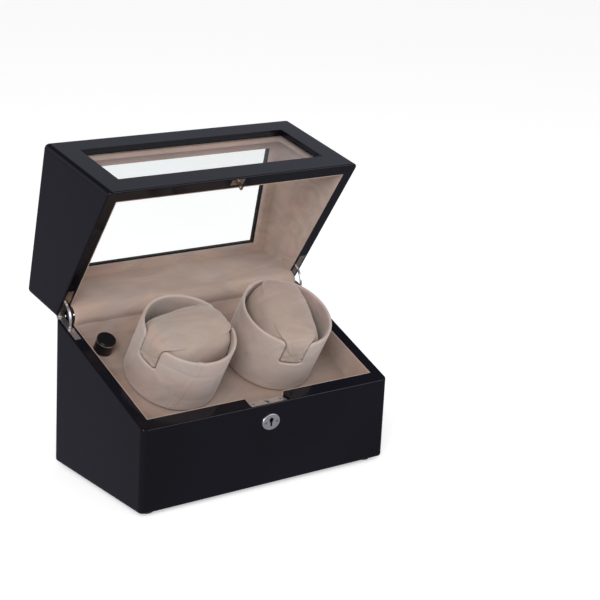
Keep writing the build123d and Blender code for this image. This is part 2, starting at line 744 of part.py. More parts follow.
GEARBOX_DEPTH = 12.0
MOTOR_DEPTH = 24.0
SHAFT_SEAT = 8.0
gearbox_top = PLATE_TOP - PLATE
with BuildPart() as gear_motor:
    add(ring_profile(centre, 0, 16, gearbox_top - GEARBOX_DEPTH, gearbox_top))
    add(ring_profile(centre, 0, 3.5, gearbox_top, gearbox_top + 2.5))
    add(ring_profile(centre, 0, 12, gearbox_top - GEARBOX_DEPTH - MOTOR_DEPTH, gearbox_top - GEARBOX_DEPTH))
    shaft_hole = ring_profile(centre, 0, MOTOR_SHAFT_RADIUS + RUNNING, gearbox_top - SHAFT_SEAT, PULLEY_TOP)
    add(shaft_hole, mode=Mode.SUBTRACT)
    for spot in motor_screw_spots:
        screw_room = ring_profile(deck_spot(*spot), 0, 3.2, gearbox_top - 2.2, gearbox_top)
        add(screw_room, mode=Mode.SUBTRACT)
save(gear_motor, "gear_motor")

with BuildPart() as motor_shaft:
    add(ring_profile(centre, 0, MOTOR_SHAFT_RADIUS, gearbox_top - SHAFT_SEAT + 0.3, PULLEY_TOP + 1))
save(motor_shaft, "motor_shaft")

save(belt_wheel(centre, PULLEY_PITCH, MOTOR_SHAFT_RADIUS, PULLEY_TOP), "motor_pulley")


def belt_outline(reach):
    """The outline of a tight belt round the motor's pulley and one drum, grown by a margin."""
    with BuildSketch() as outline:
        with BuildLine():
            CenterArc((0, 0), PULLEY_PITCH + reach, 0, 360)
            CenterArc((CUP_SPACING, 0), DRUM_PITCH + reach, 0, 360)
        make_hull()
    return outline.sketch


for side, direction in SIDES.items():
    towards_drum = deck_spot(0, turn=0 if direction > 0 else 180)
    level = towards_drum.offset(BELT_LEVELS[side] - BELT / 2)
    with BuildPart() as belt:
        with BuildSketch(level):
            add(belt_outline(BELT / 2))
            add(belt_outline(-BELT / 2), mode=Mode.SUBTRACT)
        extrude(amount=BELT)
    save(belt, f"belt_{side}")

# ---------------------------------------------------------------- knob and its switch

knob_spot = deck_spot(KNOB_X, KNOB_SLOPE)
KNOB_GAP = 0.8
SHAFT_REACH = 9.0
RING_LEVEL = KNOB_HEIGHT - 3.0
with BuildPart() as knob:
    with BuildSketch(knob_spot.offset(KNOB_GAP)):
        Circle(KNOB_RADIUS)
    extrude(amount=KNOB_HEIGHT - KNOB_GAP)
    fillet(knob.edges().sort_by(Axis(knob_spot.origin, knob_spot.z_dir))[-1], radius=0.8)
    add(ring_profile(knob_spot, 0, SPINDLE_RADIUS, 0, SHAFT_REACH), mode=Mode.SUBTRACT)
    add(ring_profile(knob_spot, 0, SWITCH_BUSH_RADIUS + 1.5, 0, 2.5), mode=Mode.SUBTRACT)
    groove = ring_profile(knob_spot, KNOB_RADIUS - 0.6, KNOB_RADIUS + 1, RING_LEVEL, RING_LEVEL + 0.9)
    add(groove, mode=Mode.SUBTRACT)
save(knob, "knob")

with BuildPart() as knob_ring:
    add(ring_profile(knob_spot, KNOB_RADIUS - 0.6, KNOB_RADIUS + 0.15, RING_LEVEL, RING_LEVEL + 0.9))
save(knob_ring, "knob_ring")

with BuildPart() as switch_shaft:
    add(ring_profile(knob_spot, 0, SPINDLE_RADIUS, -12, SHAFT_REACH))
save(switch_shaft, "switch_shaft")

board_underside = -DECK_LINING - DECK_BOARD
with BuildPart() as switch_body:
    with BuildSketch(knob_spot.offset(board_underside)):
        RectangleRounded(17, 17, 1)
    extrude(amount=-9)
    add(ring_profile(knob_spot, 0, SWITCH_BUSH_RADIUS, board_underside, 1.8))
    add(ring_profile(knob_spot, 0, SPINDLE_RADIUS + RUNNING, -12.2, 3), mode=Mode.SUBTRACT)
save(switch_body, "switch_body")

# ---------------------------------------------------------------- control board

PCB = (60.0, 36.0, 1.6)
PCB_X = -62.0
PCB_Y = -18.0
STANDOFF = 6.0
pcb_spot = Plane(origin=(PCB_X, PCB_Y, BOARD + STANDOFF))
with BuildPart() as control_board:
    with BuildSketch(pcb_spot):
        RectangleRounded(PCB[0], PCB[1], 1.5)
        with GridLocations(PCB[0] - 8, PCB[1] - 8, 2, 2):
            Circle(1.5, mode=Mode.SUBTRACT)
    extrude(amount=PCB[2])
    with BuildSketch(pcb_spot.offset(PCB[2])):
        Rectangle(14, 10)
        with Locations((-22, 0)):
            Rectangle(8, 16)
        with Locations((18, 5)):
            Circle(4)
    extrude(amount=6)
save(control_board, "control_board")

with BuildPart() as board_standoffs:
    with BuildSketch(Plane(origin=(PCB_X, PCB_Y, BOARD))):
        with GridLocations(PCB[0] - 8, PCB[1] - 8, 2, 2):
            Circle(3)
    extrude(amount=STANDOFF)
    with BuildSketch(pcb_spot):
        with GridLocations(PCB[0] - 8, PCB[1] - 8, 2, 2):
            Circle(1.5)
    extrude(amount=PCB[2] + 1.2)
save(board_standoffs, "board_standoffs")

# ---------------------------------------------------------------- lid, drawn shut

with BuildPart() as lid_walls:
    add(walls(BOARD, LID_CEILING))
    split(bisect_by=JOINT.offset(JOINT_GAP), keep=Keep.TOP)
    lower_face = lid_walls.faces().sort_by(Axis(JOINT.origin, JOINT.z_dir))[0]
    fillet(lower_face.outer_wire().edges(), radius=RIM_ROUND)

for side in SIDES:
    with BuildPart() as lid_side:
        add(lid_walls.part)
        add(wall_space(side), mode=Mode.INTERSECT)
        add(hinge_pocket(side, lid=True), mode=Mode.SUBTRACT)
    save_raised(lid_side, f"lid_{side}_panel")

with BuildPart() as lid_back_rail:
    add(lid_walls.part)
    add(wall_space("back"), mode=Mode.INTERSECT)
save_raised(lid_back_rail, "lid_back_rail")

front_window = Plane(
    origin=(0, FRONT, (FRONT_WINDOW_BOTTOM + FRONT_WINDOW_TOP) / 2),
    x_dir=(1, 0, 0),
    z_dir=(0, -1, 0),
)
front_window_size = (WIDTH - 2 * FRONT_WINDOW_SIDE, FRONT_WINDOW_TOP - FRONT_WINDOW_BOTTOM)
top_window = Plane(
    origin=(0, (TOP_WINDOW_FRONT - TOP_WINDOW_BACK) / 2, HEIGHT),
    x_dir=(1, 0, 0),
    z_dir=(0, 0, 1),
)
top_window_size = (WIDTH - 2 * TOP_WINDOW_SIDE, DEPTH - TOP_WINDOW_FRONT - TOP_WINDOW_BACK)


def window_layer(plane, size, depth, thickness, grow, hole=None):
    """A layer set back from a window's outer face, larger than the window by a margin all round."""
    with BuildPart() as layer:
        with BuildSketch(plane.offset(-depth)):
            Rectangle(size[0] + 2 * grow, size[1] + 2 * grow)
            if hole is not None:
                Rectangle(size[0] + 2 * hole, size[1] + 2 * hole, mode=Mode.SUBTRACT)
        extrude(amount=-thickness)
    return layer


def window_cut(plane, size, setback):
    """What a frame gives up to its window: the opening and the deeper rebate behind it."""
    with BuildPart() as cut:
        add(window_layer(plane, size, -1, setback + 1, 0).part)
        add(window_layer(plane, size, setback, WALL, REBATE).part)
    return cut.part


strike_size = (14.0, 7.0, 1.2)
strike_face = TONGUE_PLANE.offset(JOINT_GAP)

with BuildPart() as lid_front_frame:
    add(lid_walls.part)
    add(wall_space("front"), mode=Mode.INTERSECT)
    add(window_cut(front_window, front_window_size, FRONT_GLASS_SETBACK), mode=Mode.SUBTRACT)
    with BuildSketch(strike_face):
        Rectangle(strike_size[0], strike_size[1])
    extrude(amount=strike_size[2], mode=Mode.SUBTRACT)
save_raised(lid_front_frame, "lid_front_frame")

with BuildPart() as lid_top_frame:
    with BuildSketch(Plane.XY.offset(LID_CEILING)):
        RectangleRounded(WIDTH, DEPTH, CORNER_ROUND)
    extrude(amount=WALL)
    fillet(lid_top_frame.faces().sort_by(Axis.Z)[-1].edges(), radius=TOP_ROUND)
    add(window_cut(top_window, top_window_size, TOP_GLASS_SETBACK), mode=Mode.SUBTRACT)
save_raised(lid_top_frame, "lid_top_frame")

windows = {
    "front": (front_window, front_window_size, FRONT_GLASS_SETBACK),
    "top": (top_window, top_window_size, TOP_GLASS_SETBACK),
}
for place, (plane, size, setback) in windows.items():
    save_raised(window_layer(plane, size, setback, GLASS, REBATE - 0.3), f"glass_{place}")

with BuildPart() as glass_beads:
    for plane, size, setback in windows.values():
        behind = setback + GLASS
        add(window_layer(plane, size, behind, WALL - behind, REBATE - 0.1, hole=0).part)
save_raised(glass_beads, "glass_beads")

with BuildPart() as lid_top_lining:
    with BuildSketch(Plane.XY.offset(LID_CEILING)):
        Rectangle(INNER_WIDTH, INNER_DEPTH)
    extrude(amount=-LINING)
    add(
        window_layer(top_window, top_window_size, WALL - 1, LINING + 2, LINING_SETBACK).part,
        mode=Mode.SUBTRACT,
    )
save_raised(lid_top_lining, "lid_top_lining")

with BuildPart() as lid_wall_lining:
    with BuildSketch():
        Rectangle(INNER_WIDTH, INNER_DEPTH)
        Rectangle(INNER_WIDTH - 2 * LINING, INNER_DEPTH - 2 * LINING, mode=Mode.SUBTRACT)
    extrude(amount=LID_CEILING - LINING)
    split(bisect_by=JOINT.offset(JOINT_GAP + 0.4), keep=Keep.TOP)
    add(
        window_layer(front_window, front_window_size, WALL - 1, LINING + 2, LINING_SETBACK).part,
        mode=Mode.SUBTRACT,
    )
save_raised(lid_wall_lining, "lid_wall_lining")

with BuildPart() as strike_plate:
    with BuildSketch(strike_face):
        Rectangle(strike_size[0], strike_size[1])
    extrude(amount=strike_size[2])
    with BuildSketch(strike_face):
        Rectangle(TONGUE[0], TONGUE[1])
    extrude(amount=-TONGUE[2] - JOINT_GAP)
    with BuildSketch(Plane(origin=eye, x_dir=(0, 1, 0), z_dir=(1, 0, 0))):
        Circle(1.3)
    extrude(amount=TONGUE[0], both=True, mode=Mode.SUBTRACT)
save_raised(strike_plate, "strike_plate")
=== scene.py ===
import json
from math import atan2, cos, pi, radians, sin

import bmesh
import bpy
import numpy as np
from mathutils import Matrix, Vector, noise


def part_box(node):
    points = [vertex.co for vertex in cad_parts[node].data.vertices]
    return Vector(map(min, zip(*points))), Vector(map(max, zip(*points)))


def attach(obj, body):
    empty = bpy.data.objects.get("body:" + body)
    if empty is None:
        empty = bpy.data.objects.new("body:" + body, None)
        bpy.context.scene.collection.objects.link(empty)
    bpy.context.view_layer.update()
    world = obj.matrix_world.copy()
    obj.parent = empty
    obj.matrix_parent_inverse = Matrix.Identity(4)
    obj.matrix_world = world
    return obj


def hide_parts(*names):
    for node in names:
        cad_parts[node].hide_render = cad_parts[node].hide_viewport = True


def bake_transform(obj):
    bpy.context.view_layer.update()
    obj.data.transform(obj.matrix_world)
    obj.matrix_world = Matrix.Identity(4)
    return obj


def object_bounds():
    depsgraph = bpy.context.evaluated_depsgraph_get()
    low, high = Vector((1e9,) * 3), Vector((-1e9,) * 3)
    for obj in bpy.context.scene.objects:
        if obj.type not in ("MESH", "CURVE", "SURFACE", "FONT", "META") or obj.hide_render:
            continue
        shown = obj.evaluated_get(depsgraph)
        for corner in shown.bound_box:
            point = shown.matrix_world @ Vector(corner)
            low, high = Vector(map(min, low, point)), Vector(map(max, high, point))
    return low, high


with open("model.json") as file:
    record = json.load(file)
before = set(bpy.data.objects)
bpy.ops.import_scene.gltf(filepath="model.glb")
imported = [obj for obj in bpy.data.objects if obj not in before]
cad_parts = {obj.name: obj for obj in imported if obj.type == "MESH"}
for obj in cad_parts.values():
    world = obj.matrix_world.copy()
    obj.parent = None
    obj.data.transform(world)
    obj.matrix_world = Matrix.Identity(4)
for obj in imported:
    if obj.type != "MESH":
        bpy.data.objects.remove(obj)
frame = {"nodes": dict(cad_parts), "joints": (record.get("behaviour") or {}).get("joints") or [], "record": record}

# Looks for a two-cup watch winder box. Everything is in metres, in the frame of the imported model:
# X runs to the right, Y to the back and Z up, with the lid raised.

MM = 0.001
cad_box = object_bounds()
joints = {joint["name"]: joint for joint in frame["joints"]}

# ---- Camera ----
CAMERA_PLACE = (-0.9084, -1.2559, 0.6257)
CAMERA_AZIMUTH = 38.37  # degrees from +Y towards +X
CAMERA_ELEVATION = 16.74  # degrees below the horizon that it looks
CAMERA_ROLL = 3.0
LENS = 105.2  # mm
SENSOR = 36  # mm wide

# ---- Studio ----
FLOOR_HALF_SIZE = 20
FLOOR_GREY = 0.86
FLOOR_GLOW = 0.46
LAMP_TARGET = (0, 0, 0.12)
KEY_PLACE, KEY_SIZE, KEY_POWER = (-1.5, -1.5, 1.3), 1.0, 32
FILL_PLACE, FILL_SIZE, FILL_POWER = (1.2, -1.8, 0.9), 1.2, 10
# brightness against height, from straight down to straight up
SURROUND = ((0.30, 0.27), (0.50, 0.24), (0.62, 0.50), (0.77, 0.40), (0.86, 0.07))  # what polish mirrors
SURROUND_TINT = (0.94, 0.94, 1.14)
SURROUND_LEAN = -0.28  # how much brighter that surround is on the left
ROOM = ((0.25, 0.96), (0.50, 0.74), (0.80, 0.52))  # what lights cloth: the pale floor counts from below
ROOM_TINT = (1.0, 1.0, 1.01)

# ---- Cups, as the model has them ----
CUP_RADIUS = 44.6 * MM
CUP_WALL = 3.0 * MM
CUP_HEIGHT = 62.0 * MM
CUP_LIFT = 1.0 * MM
CUP_FLOOR = 4.0 * MM
SLOT_HALF_WIDTH = 11.7 * MM
SLOT_BOTTOM = 36.5 * MM
SLOT_CORNER = 3.0 * MM
RIM_FLARE = 6.0 * MM
CUP_TURN = {"left": 10.0, "right": 73.0}  # direction of the cut-outs from +X, in the deck's plane

SEAM_TURN = {"left": -106.0, "right": 118.0}  # direction of each cup's seam from +X
SEAM_WIDTH = 6.0 * MM
SEAM_STAND = 0.5 * MM
SEAM_SLANT = -14.0  # degrees that the seam drifts round the cup from rim to foot
WALL_ROWS = 30
ROLL_ROWS = 8

# ---- Lining over the joint at the back ----
LINING = 1.2 * MM
JOINT_RISE = (139.0 - 78.5) / 150.0  # slope of the joint between base and lid
FLAP_SIDE_GAP = 0.4 * MM
FLAP_STEPS = 14
FLAP_BULGE = 1.6 * MM
FLAP_TAIL = 4.0 * MM
FLAP_THICK = 0.8 * MM
FLAP_STAND = 0.4 * MM  # how far it stands off the lining's line
FLAP_END_THICK = 0.2 * MM  # its tails are pared thin and tucked in
FLAP_END_SINK = 0.35 * MM

# the near-black fans at the ends of the joint are painted shade
GUSSET_PLACE = 126.6 * MM  # from the middle of the box, between the lining and the hinge
GUSSET_THICK = 0.4 * MM
GUSSET_INSIDE = 1.0 * MM
GUSSET_OUTSIDE = 14.0 * MM

# ---- Cushions ----
CUSHION_CENTRE = 44.0 * MM
START_HALF_SIZE = np.array((41.0, 31.0, 27.0)) * MM
START_POWER = 4.2  # how squarely the ends turn into the sides
GATHER_RADIUS = 4.0 * MM
CUSHION_CLEARANCE = 0.7 * MM
DOME_START = 55.0 * MM  # above this height the cushion draws in from the wall
DOME_HEIGHT = 20.0 * MM
DOME_POWER = 2.6
VOXEL = 3.6 * MM
CLOTH_FRAMES = 20
CLOTH_PRESSURE = 4.0
SWELL_CAP = 4.5 * MM


# ------------------------------------------------------------------ camera, floor and light


def make_camera():
    """The camera stands to the front left, a little above the box."""
    azimuth, elevation, roll = map(radians, (CAMERA_AZIMUTH, CAMERA_ELEVATION, CAMERA_ROLL))
    forward = Vector(
        (sin(azimuth) * cos(elevation), cos(azimuth) * cos(elevation), -sin(elevation))
    )
    level_right = Vector((cos(azimuth), -sin(azimuth), 0))
    level_up = level_right.cross(forward)
    right = level_right * cos(roll) + level_up * sin(roll)
    up = level_up * cos(roll) - level_right * sin(roll)
    data = bpy.data.cameras.new("camera")
    data.lens = LENS
    data.sensor_width = SENSOR
    data.clip_end = 100
    camera = bpy.data.objects.new("camera", data)
    turn = Matrix((right, up, -forward)).transposed().to_4x4()
    camera.matrix_world = Matrix.Translation(CAMERA_PLACE) @ turn
    bpy.context.scene.collection.objects.link(camera)
    bpy.context.scene.camera = camera


def make_floor():
    """A plain pale floor under the feet."""
    half = FLOOR_HALF_SIZE
    level = cad_box[0].z
    mesh = bpy.data.meshes.new("floor")
    corners = [(x * half, y * half, level) for x, y in ((-1, -1), (1, -1), (1, 1), (-1, 1))]
    mesh.from_pydata(corners, [], [(0, 1, 2, 3)])
    floor = bpy.data.objects.new("floor", mesh)
    bpy.context.scene.collection.objects.link(floor)
    material = bpy.data.materials.new("floor")
    material.use_nodes = True
    shader = material.node_tree.nodes["Principled BSDF"]
    shader.inputs["Base Color"].default_value = (FLOOR_GREY, FLOOR_GREY, FLOOR_GREY, 1)
    shader.inputs["Roughness"].default_value = 0.9
    shader.inputs["Specular IOR Level"].default_value = 0.1
    shader.inputs["Emission Color"].default_value = (1, 1, 1, 1)
    shader.inputs["Emission Strength"].default_value = FLOOR_GLOW
    mesh.materials.append(material)
    floor.visible_glossy = False
    floor.visible_diffuse = False


def area_light(name, place, size, power):
    """A square softbox that faces the box."""
    data = bpy.data.lights.new(name, "AREA")
    data.size = size
    data.energy = power
    light = bpy.data.objects.new(name, data)
    light.location = place
    light.rotation_mode = "QUATERNION"
    light.rotation_quaternion = (Vector(LAMP_TARGET) - Vector(place)).to_track_quat("-Z", "Y")
    bpy.context.scene.collection.objects.link(light)


def height_ramp(tree, height, stops, tint):
    """A brightness that changes with height, as a tinted colour."""
    ramp = tree.nodes.new("ShaderNodeValToRGB")
    elements = ramp.color_ramp.elements
    while len(elements) < len(stops):
        elements.new(0.5)
    for element, (position, grey) in zip(elements, stops):
        element.position = position
        element.color = (grey * tint[0], grey * tint[1], grey * tint[2], 1)
    tree.links.new(height, ramp.inputs[0])
    return ramp.outputs["Color"]


def make_light():
    """An even pale room, a dim surround for reflections, and two soft lamps above."""
    scene = bpy.context.scene
    scene.view_settings.view_transform = "Standard"
    world = bpy.data.worlds.new("studio")
    scene.world = world
    world.use_nodes = True
    tree = world.node_tree
    background = tree.nodes["Background"]
    coordinates = tree.nodes.new("ShaderNodeTexCoord")
    direction = tree.nodes.new("ShaderNodeSeparateXYZ")
    tree.links.new(coordinates.outputs["Generated"], direction.inputs[0])
    scale = tree.nodes.new("ShaderNodeMapRange")
    scale.inputs["From Min"].default_value = -1
    tree.links.new(direction.outputs["Z"], scale.inputs["Value"])
    surround = height_ramp(tree, scale.outputs[0], SURROUND, SURROUND_TINT)
    room = height_ramp(tree, scale.outputs[0], ROOM, ROOM_TINT)
    lean = tree.nodes.new("ShaderNodeMath")
    lean.operation = "MULTIPLY_ADD"
    lean.inputs[1].default_value = SURROUND_LEAN
    lean.inputs[2].default_value = 1
    tree.links.new(direction.outputs["X"], lean.inputs[0])
    leaning = tree.nodes.new("ShaderNodeVectorMath")
    leaning.operation = "SCALE"
    tree.links.new(surround, leaning.inputs[0])
    tree.links.new(lean.outputs[0], leaning.inputs["Scale"])
    path = tree.nodes.new("ShaderNodeLightPath")
    lit = tree.nodes.new("ShaderNodeMix")
    lit.data_type = "RGBA"
    tree.links.new(path.outputs["Is Glossy Ray"], lit.inputs[0])
    tree.links.new(room, lit.inputs[6])
    tree.links.new(leaning.outputs[0], lit.inputs[7])
    seen = tree.nodes.new("ShaderNodeMix")
    seen.data_type = "RGBA"
    seen.inputs[7].default_value = (1, 1, 1, 1)
    tree.links.new(path.outputs["Is Camera Ray"], seen.inputs[0])
    tree.links.new(lit.outputs[2], seen.inputs[6])
    tree.links.new(seen.outputs[2], background.inputs["Color"])
    area_light("key", KEY_PLACE, KEY_SIZE, KEY_POWER)
    area_light("fill", FILL_PLACE, FILL_SIZE, FILL_POWER)


# ------------------------------------------------------------------ material helpers


class Finish:
    """A material under construction: its node tree, its Principled shader and a few shortcuts."""

    def __init__(self, name, **sockets):
        self.material = bpy.data.materials.new(name)
        self.material.use_nodes = True
        self.tree = self.material.node_tree
        self.shader = self.tree.nodes["Principled BSDF"]
        self.place = self.tree.nodes.new("ShaderNodeTexCoord").outputs["Object"]
        for socket, value in sockets.items():
            self.set(socket.replace("_", " "), value)

    def set(self, socket, value):
        """Set one of the shader's own sockets."""
        self.shader.inputs[socket].default_value = value

    def link(self, source, socket):
        """Feed a socket of the shader."""
        self.tree.links.new(source, self.shader.inputs[socket])

    def stretched(self, scale):
        """The object's coordinates, scaled by a different factor along each axis."""
        mapping = self.tree.nodes.new("ShaderNodeMapping")
        mapping.inputs["Scale"].default_value = scale
        self.tree.links.new(self.place, mapping.inputs["Vector"])
        return mapping.outputs[0]

    def noise(self, scale, detail=2.0, distortion=0.0, roughness=0.5, place=None):
        """A noise texture's value: scale is in features per metre."""
        node = self.tree.nodes.new("ShaderNodeTexNoise")
        node.inputs["Scale"].default_value = scale
        node.inputs["Detail"].default_value = detail
        node.inputs["Roughness"].default_value = roughness
        node.inputs["Distortion"].default_value = distortion
        self.tree.links.new(place or self.place, node.inputs["Vector"])
        return node.outputs["Fac"]

    def ramp(self, factor, *stops):
        """Colours along a value: each stop is (position, colour)."""
        node = self.tree.nodes.new("ShaderNodeValToRGB")
        elements = node.color_ramp.elements
        while len(elements) < len(stops):
            elements.new(0.5)
        for element, (position, colour) in zip(elements, stops):
            element.position = position
            element.color = (*colour, 1)
        self.tree.links.new(factor, node.inputs[0])
        return node.outputs["Color"]

    def grey(self, factor, low, high, start=0.3, end=0.7):
        """A value spread between two numbers."""
        node = self.tree.nodes.new("ShaderNodeMapRange")
        node.inputs["From Min"].default_value = start
        node.inputs["From Max"].default_value = end
        node.inputs["To Min"].default_value = low
        node.inputs["To Max"].default_value = high
        self.tree.links.new(factor, node.inputs["Value"])
        return node.outputs[0]

    def multiply(self, first, second):
        """One colour darkened by another."""
        node = self.tree.nodes.new("ShaderNodeMix")
        node.data_type = "RGBA"
        node.blend_type = "MULTIPLY"
        node.inputs[0].default_value = 1
        self.tree.links.new(first, node.inputs[6])
        self.tree.links.new(second, node.inputs[7])
        return node.outputs[2]

    def bump(self, height, depth, strength=1.0, under=None):
        """Relief of a given depth in metres, over another relief if there is one."""
        node = self.tree.nodes.new("ShaderNodeBump")
        node.inputs["Distance"].default_value = depth
        node.inputs["Strength"].default_value = strength
        self.tree.links.new(height, node.inputs["Height"])
        if under is not None:
            self.tree.links.new(under, node.inputs["Normal"])
        return node.outputs[0]


def tinted(colour, factor):
    """A colour made lighter or darker."""
    return tuple(channel * factor for channel in colour)


# ------------------------------------------------------------------ materials


def lacquer(name, base):
    """Deep black gloss lacquer, polished, with a trace of orange peel and of polishing haze."""
    finish = Finish(name, IOR=1.5)
    finish.set("Specular IOR Level", 0.28)
    tone = finish.noise(9, detail=3, distortion=0.6)
    finish.link(finish.ramp(tone, (0.3, base), (0.7, tinted(base, 1.5))), "Base Color")
    haze = finish.noise(14, detail=4, distortion=1.2)
    finish.link(finish.grey(haze, 0.07, 0.15), "Roughness")
    peel = finish.noise(260, detail=1)
    finish.link(finish.bump(peel, 0.02 * MM, 0.5), "Normal")
    return finish.material


def suede(name, colour, sheen=0.25, blotch=1.0, nap=1.0):
    """Short-napped suede: soft patches where the nap lies differently, and a fine fibre relief."""
    finish = Finish(name)
    finish.set("Sheen Weight", sheen)
    finish.set("Sheen Roughness", 0.45)
    finish.set("Sheen Tint", (1.0, 0.95, 0.9, 1))
    finish.set("Specular IOR Level", 0.15)
    pink = (colour[0] * 1.03, colour[1] * 0.94, colour[2] * 0.97)
    grey = (colour[0] * 0.94, colour[1] * 0.985, colour[2] * 1.05)
    hue = finish.noise(16, detail=3, distortion=0.8)
    base = finish.ramp(hue, (0.32, grey), (0.5, colour), (0.68, pink))
    brushed = finish.noise(34, detail=4, distortion=1.5, place=finish.stretched((0.45, 1, 1.5)))
    low = 1 - 0.17 * blotch
    shade = finish.ramp(brushed, (0.3, (low, low, low)), (0.72, (1.05, 1.05, 1.05)))
    fibre = finish.noise(2600, detail=2, roughness=0.7)
    fleck = finish.ramp(fibre, (0.25, (0.86, 0.86, 0.86)), (0.75, (1.1, 1.1, 1.1)))
    finish.link(finish.multiply(finish.multiply(base, shade), fleck), "Base Color")
    finish.link(finish.grey(brushed, 0.86, 0.98), "Roughness")
    rolling = finish.bump(brushed, 0.35 * MM, 0.35 * blotch)
    finish.link(finish.bump(fibre, 0.10 * MM * nap, 0.6, under=rolling), "Normal")
    return finish.material


def metal(name, colour, roughness, brush=(1, 1, 1), relief=0.15, tarnish=0.12):
    """A metal with fine brushing along one axis and a little tarnish."""
    finish = Finish(name, Metallic=1.0)
    stain = finish.noise(420, detail=3, distortion=0.5)
    finish.link(
        finish.ramp(stain, (0.35, tinted(colour, 1 - 2 * tarnish)), (0.6, colour)), "Base Color"
    )
    lines = finish.noise(2400, detail=2, place=finish.stretched(brush))
    finish.link(finish.grey(lines, roughness * 0.75, roughness * 1.3), "Roughness")
    finish.link(finish.bump(lines, 0.02 * MM, relief), "Normal")
    return finish.material


def plastic(name, colour, roughness, grain=0.3, scale=1600):
    """Moulded plastic or rubber with a fine texture."""
    finish = Finish(name)
    spark = finish.noise(scale, detail=2)
    tone = finish.noise(60, detail=2)
    shades = ((0.3, tinted(colour, 0.85)), (0.7, tinted(colour, 1.2)))
    finish.link(finish.ramp(tone, *shades), "Base Color")
    finish.link(finish.grey(spark, roughness * 0.85, min(1.0, roughness * 1.2)), "Roughness")
    finish.link(finish.bump(spark, 0.05 * MM, grain), "Normal")
    return finish.material


def board(name):
    """Raw fibreboard: pale brown with short darker fibres."""
    finish = Finish(name, Roughness=0.9)
    fibre = finish.noise(900, detail=4, place=finish.stretched((1, 1, 3)))
    cloud = finish.noise(40, detail=3)
    base = finish.ramp(fibre, (0.3, (0.20, 0.125, 0.07)), (0.7, (0.36, 0.25, 0.155)))
    shade = finish.ramp(cloud, (0.3, (0.85, 0.85, 0.85)), (0.7, (1, 1, 1)))
    finish.link(finish.multiply(base, shade), "Base Color")
    finish.link(finish.bump(fibre, 0.08 * MM, 0.4), "Normal")
    return finish.material


def circuit_board(name):
    """Green solder mask over copper tracks."""
    finish = Finish(name, Roughness=0.35)
    tracks = finish.noise(700, detail=0, place=finish.stretched((0.3, 1, 1)))
    stops = ((0.47, (0.012, 0.11, 0.045)), (0.5, (0.03, 0.2, 0.08)), (0.53, (0.012, 0.11, 0.045)))
    finish.link(finish.ramp(tracks, *stops), "Base Color")
    finish.link(finish.bump(tracks, 0.03 * MM, 0.3), "Normal")
    return finish.material


def clear_glass(name):
    """A clean window pane: clear, with a mirror on its outer faces that grows at a glancing angle."""
    finish = Finish(name, Metallic=1.0)
    finish.set("Base Color", (0.95, 0.97, 0.96, 1))
    tree = finish.tree
    smear = finish.noise(30, detail=3, distortion=1.0)
    finish.link(finish.grey(smear, 0.015, 0.05), "Roughness")
    clear = tree.nodes.new("ShaderNodeBsdfTransparent")
    clear.inputs["Color"].default_value = (0.985, 0.992, 0.988, 1)
    mirror = tree.nodes.new("ShaderNodeFresnel")
    mirror.inputs["IOR"].default_value = 1.45
    mix = tree.nodes.new("ShaderNodeMixShader")
    output = tree.nodes["Material Output"]
    front = tree.nodes.new("ShaderNodeMath")
    front.operation = "SUBTRACT"
    front.inputs[0].default_value = 1
    tree.links.new(tree.nodes.new("ShaderNodeNewGeometry").outputs["Backfacing"], front.inputs[1])
    outer = tree.nodes.new("ShaderNodeMath")
    outer.operation = "MULTIPLY"
    tree.links.new(mirror.outputs[0], outer.inputs[0])
    tree.links.new(front.outputs[0], outer.inputs[1])
    tree.links.new(outer.outputs[0], mix.inputs[0])
    tree.links.new(clear.outputs[0], mix.inputs[1])
    tree.links.new(finish.shader.outputs[0], mix.inputs[2])
    tree.links.new(mix.outputs[0], output.inputs["Surface"])
    return finish.material


LACQUER_COLOUR = (0.0042, 0.0042, 0.0066)
LINING_COLOUR = (0.47, 0.355, 0.295)
CUP_COLOUR = (0.50, 0.405, 0.36)
# the deck's suede is the lining's colour made darker: painted shade for the shade that falls on the deck
DECK_SHADED_COLOUR = (0.36, 0.267, 0.22)
CUSHION_COLOUR = (0.40, 0.315, 0.265)


def make_materials():
    """One material for each material slot of the record."""
    return {
        "lacquered_wood": lacquer("lacquered_wood", LACQUER_COLOUR),
        "raw_board": board("raw_board"),
        "suede_lining": suede("suede_lining", LINING_COLOUR),
        # a darker copy of the lining suede for the deck: painted shade
        "deck_suede_shaded": suede("deck_suede_shaded", DECK_SHADED_COLOUR, blotch=1.2),
        "cup_suede": suede("cup_suede", CUP_COLOUR, sheen=0.3, blotch=1.1),
        "cup_core": plastic("cup_core", (0.28, 0.24, 0.21), 0.7, grain=0.2),
        "cushion_velvet": suede("cushion_velvet", CUSHION_COLOUR, sheen=0.4, blotch=0.8, nap=1.6),
        "glass": clear_glass("glass"),
        "black_plastic": plastic("black_plastic", (0.015, 0.015, 0.016), 0.5),
        "knob_black": plastic("knob_black", (0.005, 0.005, 0.006), 0.2, grain=0.03, scale=500),
        "chrome": metal("chrome", (0.92, 0.92, 0.93), 0.2, relief=0.02, tarnish=0.02),
        "rubber": plastic("rubber", (0.012, 0.012, 0.012), 0.75, grain=0.5, scale=900),
        "steel": metal("steel", (0.62, 0.62, 0.63), 0.3, brush=(0.05, 1, 1)),
        "nickel": metal("nickel", (0.86, 0.85, 0.85), 0.34, relief=0.08, tarnish=0.05),
        "bronze_bush": metal("bronze_bush", (0.55, 0.36, 0.18), 0.4),
        "hinge_metal": metal("hinge_metal", (0.50, 0.42, 0.33), 0.3, brush=(1, 0.06, 1)),
        "circuit_board": circuit_board("circuit_board"),
    }


def finish_nodes(materials):
    """Give each node its slot's material; the deck's lining takes a darker suede, painted shade for the shade that
    the cups and walls throw on the deck.
    """
    for row in frame["record"]["subparts"]:
        node = frame["nodes"][row["node"]]
        node.data.materials.clear()
        finish = "deck_suede_shaded" if row["node"] == "deck_lining" else row["material_slot"]
        node.data.materials.append(materials[finish])


# ------------------------------------------------------------------ mesh helpers


